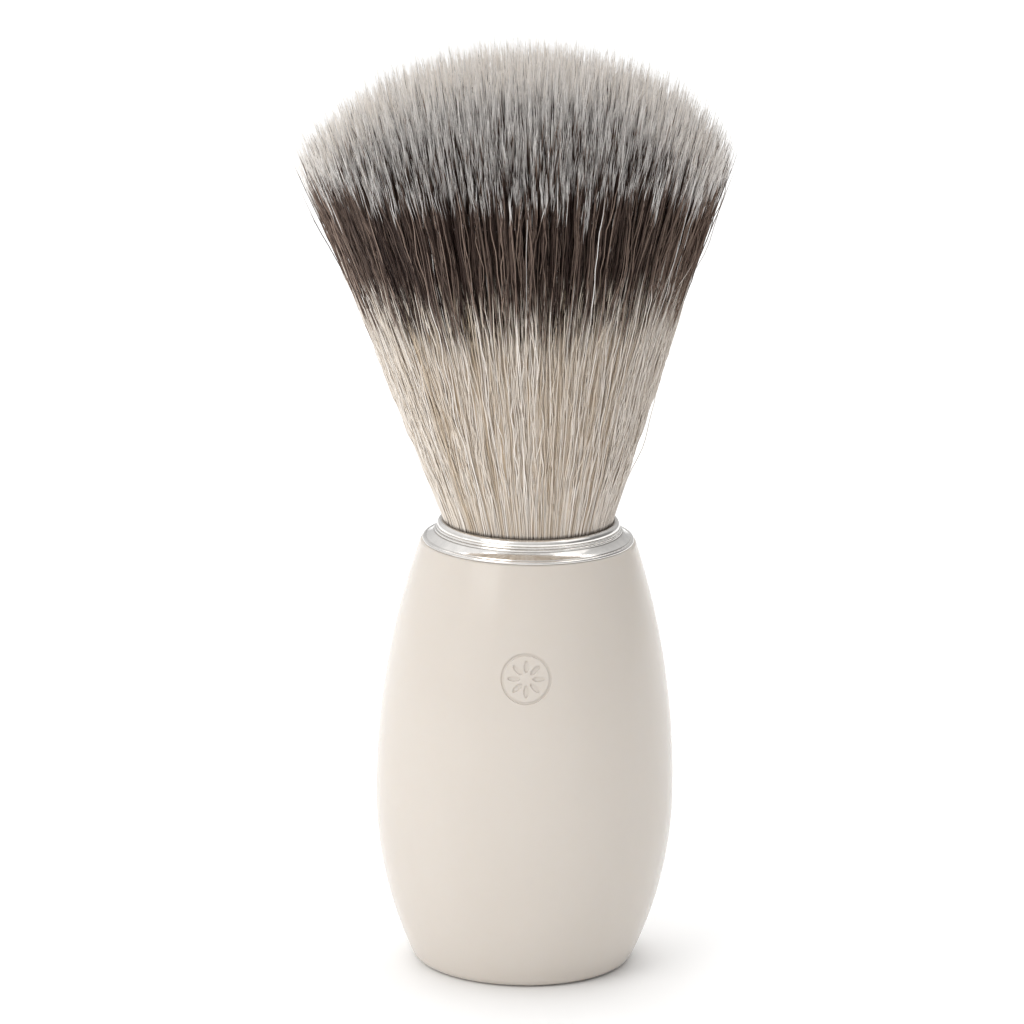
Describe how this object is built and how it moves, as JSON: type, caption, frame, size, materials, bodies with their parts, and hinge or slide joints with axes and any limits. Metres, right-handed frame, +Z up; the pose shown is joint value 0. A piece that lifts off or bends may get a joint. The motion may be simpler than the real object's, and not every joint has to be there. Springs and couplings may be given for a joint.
{
  "type": "shaving brush",
  "caption": "Shaving brush with a rounded resin handle, a two-tier polished metal collar and a flared, banded synthetic fibre knot.",
  "frame": {"origin": "centre of the handle's flat foot, where the brush stands", "axes": "+Z up along the handle's axis towards the fibre tips, +X to the right seen from the front, front (roundel) faces -Y"},
  "size_m": [0.0531, 0.0532, 0.1146],
  "materials": {
    "handle_resin": "gloss",
    "ballast_steel": "satin",
    "bedding_cement": "matte",
    "collar_chrome": "polished",
    "ferrule_chrome": "polished",
    "cup_plastic": "satin",
    "potting_resin": "gloss",
    "binding_thread": "matte",
    "knot_fibre": "satin"
  },
  "bodies": {
    "handle": {"handle_body": "handle_resin", "ballast_weight": "ballast_steel", "ballast_cement": "bedding_cement", "knot_adhesive": "bedding_cement", "collar_ring": "collar_chrome", "knot_ferrule": "ferrule_chrome", "knot_cup": "cup_plastic", "knot_resin": "potting_resin", "binding_band": "binding_thread", "bristle_root": "knot_fibre"},
    "knot_base": {"bristle_lower": "knot_fibre"},
    "knot_mid": {"bristle_middle": "knot_fibre"},
    "knot_tips": {"bristle_upper": "knot_fibre"}
  },
  "joints": [
    {"name": "base_sway", "type": "hinge", "parent": "handle", "child": "knot_base", "pos_m": [-0.00026, 0, 0.061], "axis": [0, 1, 0], "range_deg": [-10, 10], "stiffness_Nm_per_rad": 0.2},
    {"name": "mid_nod", "type": "hinge", "parent": "knot_base", "child": "knot_mid", "pos_m": [-0.00086, 0, 0.072], "axis": [1, 0, 0], "range_deg": [-14, 14], "stiffness_Nm_per_rad": 0.12},
    {"name": "tip_sway", "type": "hinge", "parent": "knot_mid", "child": "knot_tips", "pos_m": [-0.00147, 0, 0.083], "axis": [0, 1, 0], "range_deg": [-12, 12], "stiffness_Nm_per_rad": 0.08}
  ],
  "couplings": [
    {"joint": "tip_sway", "follows": "base_sway", "ratio": 1.2}
  ]
}
